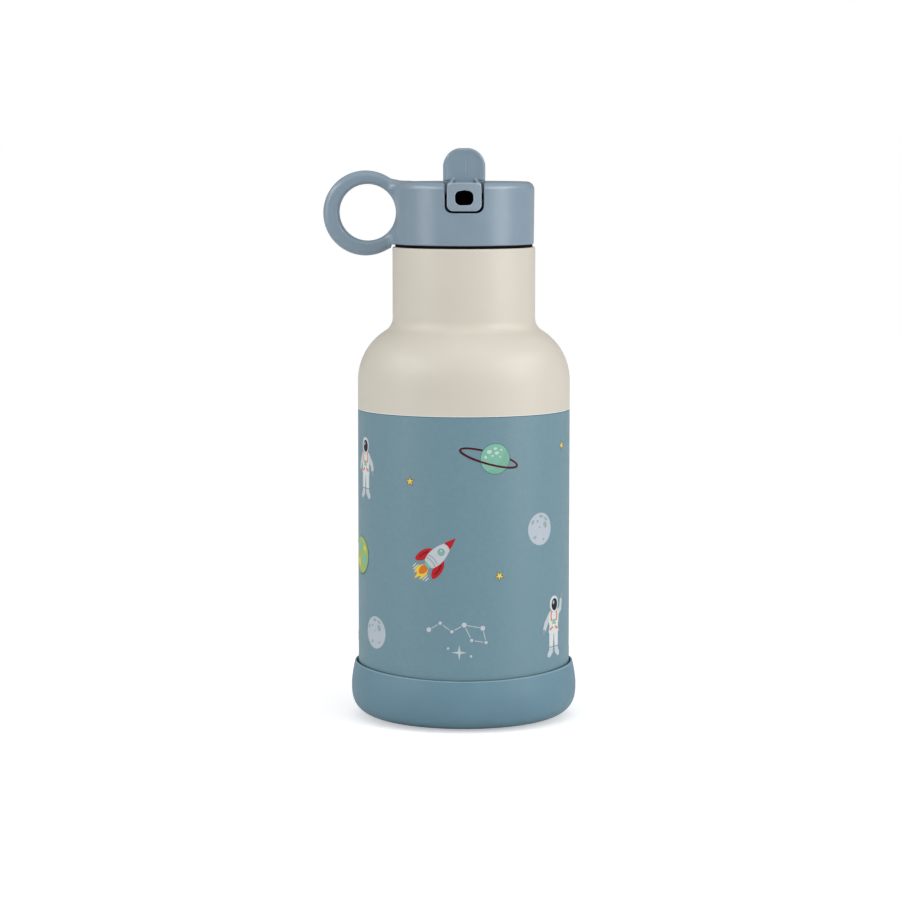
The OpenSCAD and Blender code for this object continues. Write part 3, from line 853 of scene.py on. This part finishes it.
def ringed_planet(ring):
    """Planet with craters and a tilted ring that passes behind it and in front."""
    r = 4.86
    rim = arc((0, 0), r, -125, 40, 40)
    shapes = [shape(oval((0, 0), (r + 0.17, r + 0.17)), "teal", 2), shape(oval((0, 0), (r, r)), "mint", 3),
              shape(rim + bend(rim[-1], (2.2, -2.9), rim[0]), "mint_shade", 4)]
    for at, size in (((-2.0, 2.3), (0.85, 0.6)), ((0.0, 3.3), (0.6, 0.4)), ((0.5, 1.9), (0.75, 0.5)),
                     ((-0.9, 1.0), (0.4, 0.3)), ((2.0, 2.9), (0.45, 0.3)), ((-3.2, 0.6), (0.4, 0.55)),
                     ((1.6, 0.6), (0.3, 0.25))):
        shapes.append(shape(oval(at, size, 10, 24), "mint_light", 5))
    track = oval((-1.9, 0.25), (9.9, 1.9), -16, 96)
    shapes.append(stroke(track, 0.62, ring, 1, closed=True))
    shapes.append(stroke(track[48:96] + track[:1], 0.62, ring, 6))
    return shapes


def rocket(body, trim, glass):
    """Rocket that flies along +u, with two swept fins, a round window and a flame of three tongues."""
    hull = smooth([(-4.2, 1.6), (-2.6, 2.6), (0.8, 2.9), (4.6, 2.0), (8.2, 0.0),
                   (4.6, -2.0), (0.8, -2.9), (-2.6, -2.6), (-4.2, -1.6)])
    cap = [(5.6, 1.5), (7.2, 1.15), (9.9, 0.1), (9.9, -0.1), (7.2, -1.15), (5.6, -1.5),
           (5.9, -0.7), (6.0, 0.0), (5.9, 0.7)]
    shapes = [shape(hull, body, 3), shape(cap, trim, 4)]
    for side in (1, -1):
        fin = smooth([(1.2, 2.4 * side), (-0.4, 4.6 * side), (-3.4, 5.6 * side), (-6.4, 5.2 * side),
                      (-6.0, 3.6 * side), (-3.4, 2.2 * side)])
        shapes.append(shape(fin, trim, 2))
        crease = [(-0.6, 3.4 * side), (-2.6, 4.2 * side), (-5.0, 4.3 * side)]
        shapes.append(stroke(crease, 0.35, "maroon", 3))
        for far, start, length in ((2.7, 6.9, 3.2), (3.6, 7.4, 2.0)):
            trail = [(-start - length * t, side * far) for t in (0, 0.25, 0.5, 0.75, 1)]
            shapes.append(stroke(trail, 0.36, "white", 2, taper=True))
    nozzle = [(-4.0, 1.4), (-5.2, 1.3), (-5.2, -1.3), (-4.0, -1.4)]
    shapes.append(shape(nozzle, glass, 4))
    for back in (-2.7, -1.5):
        band = [(back, 2.4), (back + 0.35, 1.2), (back + 0.45, 0.0), (back + 0.35, -1.2), (back, -2.4)]
        shapes.append(stroke(band, 0.3, "grey", 4))
    shapes += [shape(oval((2.7, 0), (1.35, 1.35)), "grey", 4), shape(oval((2.7, 0), (1.0, 1.0)), glass, 5),
               shape(oval((3.0, 0.35), (0.35, 0.22), 40, 20), "white", 6)]
    flame = [(-5.5, 1.5), (-7.3, 2.3), (-9.0, 2.3), (-10.6, 1.6), (-9.3, 1.2), (-10.1, 0.5), (-12.0, 0.0),
             (-10.1, -0.5), (-9.3, -1.1), (-10.8, -1.6), (-9.0, -2.2), (-7.3, -2.2), (-5.5, -1.4)]
    heart = smooth([(-5.5, 1.0), (-7.2, 1.4), (-8.8, 0.5), (-8.8, -0.5), (-7.2, -1.4), (-5.5, -1.0)])
    return shapes + [shape(flame, "yellow", 2), shape(heart, "orange", 3)]


def astronaut(raised):
    """Small figure in a space suit with a dark visor. One arm may be raised."""
    shapes = []
    hand = (5.2, 9.6) if raised else (5.3, -1.4)
    elbow = (4.4, 5.4) if raised else (4.5, 1.6)
    for side, joint, end in ((1, elbow, hand), (-1, (-4.3, 1.6), (-5.6, -1.4))):
        shapes.append(limb((2.0 * side, 4.2), joint, 2.2, 1.8, "silver", 2))
        shapes.append(limb(joint, end, 1.8, 1.4, "silver", 2))
        shapes.append(shape(oval(end, (0.85, 1.0)), "grey", 3))
        shapes.append(limb((1.35 * side, -1.2), (1.6 * side, -7.2), 2.6, 2.1, "white", 2))
        shapes.append(limb((1.6 * side, -7.9), (2.7 * side, -9.0), 2.2, 1.9, "silver", 3))
        shapes.append(stroke([(0.5 * side, -6.6), (2.7 * side, -6.6)], 0.35, "grey", 4))
        strap = [(1.2 * side, 5.2), (1.8 * side, 4.2), (1.8 * side, 3.0), (1.3 * side, 1.9)]
        shapes.append(stroke(strap, 0.6, "orange", 5))
        shapes.append(stroke([(0.7 * side, 0.0), (2.3 * side, -0.9)], 0.65, "orange", 5))
    torso = smooth([(-2.5, 4.9), (2.5, 4.9), (3.0, 2.4), (2.6, 0.0), (2.7, -2.0), (-2.7, -2.0),
                    (-2.6, 0.0), (-3.0, 2.4)])
    chest_panel = [(-1.0, 2.4), (1.0, 2.4), (1.0, 0.8), (-1.0, 0.8)]
    return shapes + [
        shape(torso, "white", 4), shape(chest_panel, "mint", 5),
        shape(oval((0.45, 1.6), (0.3, 0.3), 0, 16), "yellow", 6),
        shape(oval((0, 7.4), (2.6, 2.8)), "silver", 5), shape(oval((0, 7.4), (2.3, 2.5)), "white", 6),
        shape(oval((0.2, 7.3), (1.75, 2.0)), "navy", 7),
        shape(oval((-0.45, 8.0), (0.4, 0.6), -25, 20), "silver", 8),
    ]


def moon():
    """Pale moon with shaded craters over its upper part."""
    r = 5.3
    shapes = [shape(oval((0, 0), (r, r)), "moon", 2)]
    for at, size, tilt in (((0.4, 4.1), (1.0, 0.5), -5), ((2.6, 3.1), (0.9, 0.45), -40),
                           ((-1.3, 2.6), (0.55, 0.4), 20), ((2.3, 1.2), (0.8, 1.15), 25),
                           ((-3.3, 2.4), (0.5, 0.8), -30), ((-0.3, 0.6), (0.4, 0.3), 0),
                           ((-2.4, -2.6), (0.7, 0.5), 30), ((1.4, -3.4), (0.5, 0.35), -15)):
        shapes.append(shape(oval(at, size, tilt, 24), "crater", 3))
    return shapes


def globe():
    """Green and yellow planet with clouds of land."""
    r = 6.4
    shapes = [shape(oval((0, 0), (r, r)), "teal", 2),
              shape(oval((-0.15, 0.15), (r - 0.35, r - 0.35)), "lime", 3)]
    for ink, knots in (("mint", [(-3.8, 3.6), (-0.6, 4.6), (0.9, 2.6), (-0.8, 1.0), (-3.4, 0.8)]),
                       ("mint", [(0.6, -0.6), (3.8, 0.8), (4.6, -1.4), (2.4, -3.9), (0.8, -2.8)]),
                       ("yellow", [(-4.6, -1.6), (-2.2, -1.0), (-1.6, -3.4), (-3.2, -3.8)]),
                       ("yellow", [(2.6, 3.8), (4.0, 2.6), (3.2, 1.8), (2.0, 2.7)])):
        shapes.append(shape(smooth(knots), ink, 4))
    return shapes


def small_star():
    """Gold star with a dark edge."""
    return [shape(star((0, 0), 1.85, 0.8), "ochre", 2), shape(star((0, 0), 1.5, 0.5), "gold", 3)]


def constellation():
    """Line drawing of joined stars over a small sparkle."""
    knots = [(-9.4, 1.6), (-5.6, 3.9), (-1.8, 1.2), (2.2, 3.4),
             (4.6, -1.6), (9.3, -2.4), (8.2, 2.3), (2.2, 3.4)]
    shapes = []
    for start, end in zip(knots, knots[1:]):
        gap = 1.0 / math.dist(start, end)
        shapes.append(stroke([along(start, end, t) for t in (gap, 0.5, 1 - gap)], 0.26, "silver", 2))
    for i, at in enumerate(knots[:-1]):
        size = 0.8 if i % 3 == 0 else 0.55
        shapes.append(shape(oval(at, (size, size), 0, 24), "silver", 3))
    shapes.append(shape(star((0.6, -5.6), 2.6, 0.55, tips=4), "silver", 3))
    for at in ((4.4, -6.8), (-3.0, -4.3)):
        shapes.append(shape(oval(at, (0.4, 0.4), 0, 20), "silver", 3))
    return shapes


def print_motif(name, bearing, z, tilt, size, shapes):
    """Prints shapes on the film. bearing is in degrees from the front towards +X. Each layer of ink lies a
    little above the last, as a closed sheet bent round the film."""
    strip, layer_t, sink = 1.2, 0.018, 0.02
    turn, lean = math.radians(bearing), math.radians(tilt)
    inks = list(dict.fromkeys(ink for _, _, ink, _ in shapes))
    points, faces, face_inks = [], [], []
    for outline, outline_faces, ink, layer in shapes:
        flat = bmesh.new()
        corners = []
        for u, v in outline:
            corners.append(flat.verts.new((size * (u * math.cos(lean) - v * math.sin(lean)),
                                           size * (u * math.sin(lean) + v * math.cos(lean)), 0)))
        for ring in outline_faces:
            flat.faces.new([corners[i] for i in ring])
        flat.normal_update()
        bmesh.ops.triangulate(flat, faces=flat.faces, ngon_method="EAR_CLIP")
        across = [c.co.x for c in corners]
        for k in range(math.ceil(min(across) / strip), math.floor(max(across) / strip) + 1):
            bmesh.ops.bisect_plane(flat, geom=flat.verts[:] + flat.edges[:] + flat.faces[:],
                                   plane_co=(k * strip, 0, 0), plane_no=(1, 0, 0))
        bmesh.ops.recalc_face_normals(flat, faces=flat.faces)
        facing_up = sum(face.normal.z * face.calc_area() for face in flat.faces) > 0
        flat.verts.index_update()
        first, count = len(points), len(flat.verts)
        for height in (BODY_R - sink, BODY_R + layer_t * layer):
            for vert in flat.verts:
                a = turn + vert.co.x / BODY_R
                points.append((height * math.sin(a) * MM, -height * math.cos(a) * MM, (z + vert.co.y) * MM))
        for face in flat.faces:
            ring = [first + v.index for v in face.verts]
            if not facing_up:
                ring.reverse()
            faces.append([i + count for i in ring])
            faces.append(ring[::-1])
            face_inks += [inks.index(ink)] * 2
        for edge in flat.edges:
            if len(edge.link_faces) == 1:
                loop = edge.link_loops[0]
                a, b = first + loop.vert.index, first + loop.link_loop_next.vert.index
                if not facing_up:
                    a, b = b, a
                faces.append([a, b, b + count, a + count])
                face_inks.append(inks.index(ink))
        flat.free()
    mesh = bpy.data.meshes.new(name)
    mesh.from_pydata(points, [], faces)
    mesh.polygons.foreach_set("material_index", face_inks)
    mesh.shade_smooth()
    mesh.set_sharp_from_angle(angle=math.radians(30))
    return finish_mesh(name, mesh, [ink_materials[ink] for ink in inks], None, "bottle")


def make_prints():
    """Scatters the motifs round the bottle: those in front first, then the rest."""
    planet = ringed_planet("maroon")
    red_rocket = rocket("silver", "red", "mint")
    layout = [
        ("print_planet_front", 16.5, 89, 0, 1, planet),
        ("print_rocket_front", -15, 57.3, 44, 0.88, red_rocket),
        ("print_moon_right", 44.8, 65.3, 0, 1, moon()),
        ("print_moon_left", -55.5, 30.6, 12, 1, moon()),
        ("print_figure_left", -66.5, 84, 0, 1, astronaut(False)),
        ("print_figure_right", 57, 32.5, 0, 1, astronaut(True)),
        ("print_globe_left", -73.1, 54.8, 0, 1, globe()),
        ("print_constellation", -3.6, 32, 0, 1, constellation()),
        ("print_planet_back", 158, 46, 8, 1, planet),
        ("print_rocket_right", 103, 87, 62, 1, red_rocket),
        ("print_moon_back", 132, 72, -20, 1, moon()),
        ("print_figure_back", 183, 80, -8, 1, astronaut(True)),
        ("print_globe_back", 108, 44, 20, 1, globe()),
        ("print_rocket_back", 216, 38, 30, 1, red_rocket),
        ("print_moon_side", 236, 86, 30, 1, moon()),
        ("print_planet_side", 258, 62, -10, 1, planet),
    ]
    stars = [(-29.9, 81.4), (65, 91.6), (18.9, 51.1), (84, 66), (128, 94), (150, 24), (86, 22),
             (160, 96), (206, 62), (188, 32), (246, 42), (212, 94), (272, 27), (266, 96)]
    for i, (bearing, z) in enumerate(stars):
        layout.append((f"print_star_{i + 1}", bearing, z, 17 * (i % 5), 1, small_star()))
    for name, bearing, z, tilt, size, shapes in layout:
        print_motif(name, bearing, z, tilt, size, shapes)


make_outer_shell()
make_print_film()
make_boot()
make_gasket()
make_lid()
make_spout()
make_prints()

CAD_LOOKS = {
    "inner_flask": spun_steel, "inner_base": drawn_steel, "base_cup": drawn_steel, "base_cover": drawn_steel,
    "vacuum_seal_bead": solder_metal, "getter": getter_metal, "foil_wrap": foil_metal,
    "lid_plug": plug_plastic, "spout_seat_seal": clear_silicone, "spout_pivot_pins": pin_steel,
    "vent_valve": clear_silicone, "straw": straw_plastic,
}
for node_name, look in CAD_LOOKS.items():
    slots = frame["nodes"][node_name].data.materials
    slots.clear()
    slots.append(look)


# ---- Studio ----

ROOM_LEVELS = ((-1.0, 0.25), (-0.9, 0.36), (-0.74, 0.82), (0.0, 0.6), (0.8, 0.25))
ROOM_TOP = 0.6
FLOOR_COLOUR = (0.82, 0.82, 0.82)
FLOOR_GLOW = 0.45
KEY_POWER = 7.0
FILL_POWER = 4.2
TOP_POWER = 1.1
STRIP_POWER = 5.5


def make_floor():
    """Pale floor under the bottle."""
    mesh = bpy.data.meshes.new("floor")
    half = 60.0
    corners = [(-half, -half, 0), (half, -half, 0), (half, half, 0), (-half, half, 0)]
    mesh.from_pydata(corners, [], [(0, 1, 2, 3)])
    floor = add_object("floor", mesh)
    made, shader, place = new_material("pale_floor", FLOOR_COLOUR, 0.8)
    tree = made.node_tree
    shader.inputs["Specular IOR Level"].default_value = 0.1
    shader.inputs["Emission Color"].default_value = (1, 1, 1, 1)
    vary_colour(tree, shader, add_noise(tree, place, 3, 2), FLOOR_COLOUR, 0.01)
    seen = tree.nodes.new("ShaderNodeLightPath")
    glow = tree.nodes.new("ShaderNodeMath")
    glow.operation = "MULTIPLY"
    glow.inputs[1].default_value = FLOOR_GLOW
    tree.links.new(seen.outputs["Is Camera Ray"], glow.inputs[0])
    tree.links.new(glow.outputs["Value"], shader.inputs["Emission Strength"])
    mesh.materials.append(made)


def add_light(name, place, target, size, power):
    """Soft rectangular light aimed at a point."""
    light = bpy.data.lights.new(name, "AREA")
    light.shape = "RECTANGLE"
    light.size, light.size_y = size
    light.energy = power
    lamp = add_object(name, light)
    lamp.location = place
    lamp.rotation_euler = (Vector(target) - Vector(place)).to_track_quat("-Z", "Y").to_euler()
    return lamp


def make_world():
    """White surround to the eye. What lights the bottle is a soft room: brightest at the sides, dimmer
    behind and round the camera's opening in front."""
    world = bpy.data.worlds.new("studio")
    bpy.context.scene.world = world
    world.use_nodes = True
    tree = world.node_tree
    nodes, links = tree.nodes, tree.links
    white = nodes["Background"]
    white.inputs["Color"].default_value = (1, 1, 1, 1)
    white.inputs["Strength"].default_value = 1.0
    toward = nodes.new("ShaderNodeTexCoord")
    parts = nodes.new("ShaderNodeSeparateXYZ")
    links.new(toward.outputs["Generated"], parts.inputs["Vector"])
    depth = map_range(tree, parts.outputs["Y"], -1.0, 1.0, 0.0, 1.0)
    ramp = nodes.new("ShaderNodeValToRGB")
    while len(ramp.color_ramp.elements) < len(ROOM_LEVELS):
        ramp.color_ramp.elements.new(0.5)
    for element, (toward_y, level) in zip(ramp.color_ramp.elements, ROOM_LEVELS):
        element.position = (toward_y + 1) / 2
        element.color = (level, level, level, 1)
    links.new(depth.outputs["Result"], ramp.inputs["Fac"])
    height = map_range(tree, parts.outputs["Z"], 0.3, 1.0, 0.0, ROOM_TOP)
    total = nodes.new("ShaderNodeMath")
    total.operation = "ADD"
    links.new(ramp.outputs["Color"], total.inputs[0])
    links.new(height.outputs["Result"], total.inputs[1])
    room = nodes.new("ShaderNodeBackground")
    links.new(total.outputs["Value"], room.inputs["Strength"])
    seen = nodes.new("ShaderNodeLightPath")
    blend = nodes.new("ShaderNodeMixShader")
    links.new(seen.outputs["Is Camera Ray"], blend.inputs["Fac"])
    links.new(room.outputs["Background"], blend.inputs[1])
    links.new(white.outputs["Background"], blend.inputs[2])
    links.new(blend.outputs["Shader"], nodes["World Output"].inputs["Surface"])


def make_camera():
    """Camera at the photographed angle: one metre off, and a little above the bottle's middle."""
    distance, elevation = 1.030, math.radians(5.72)
    aim = Vector((-0.00457, 0, 0.0885))
    camera_data = bpy.data.cameras.new("camera")
    camera_data.sensor_width = 36
    camera_data.lens = 124.4
    camera_data.clip_end = 50
    camera = add_object("camera", camera_data)
    camera.location = aim + distance * Vector((0, -math.cos(elevation), math.sin(elevation)))
    camera.rotation_euler = (math.radians(90) - elevation, 0, 0)
    bpy.context.scene.camera = camera


make_floor()
make_world()
make_camera()
middle = (0, 0, 0.09)
add_light("key_right", (1.0, -0.5, 0.26), middle, (0.65, 1.0), KEY_POWER)
add_light("fill_left", (-1.05, -0.5, 0.28), middle, (0.55, 0.9), FILL_POWER)
add_light("top", (0.1, -0.35, 1.1), middle, (0.7, 0.3), TOP_POWER)
lid_edge = (0, 0, 0.18)
for side_name, side_x in (("left", -0.95), ("right", 0.95)):
    strip = add_light("edge_strip_" + side_name, (side_x, -0.35, 0.85), lid_edge, (1.2, 0.1), STRIP_POWER)
    strip.visible_diffuse = False
bpy.context.scene.view_settings.view_transform = "Standard"

bpy.context.view_layer.update()
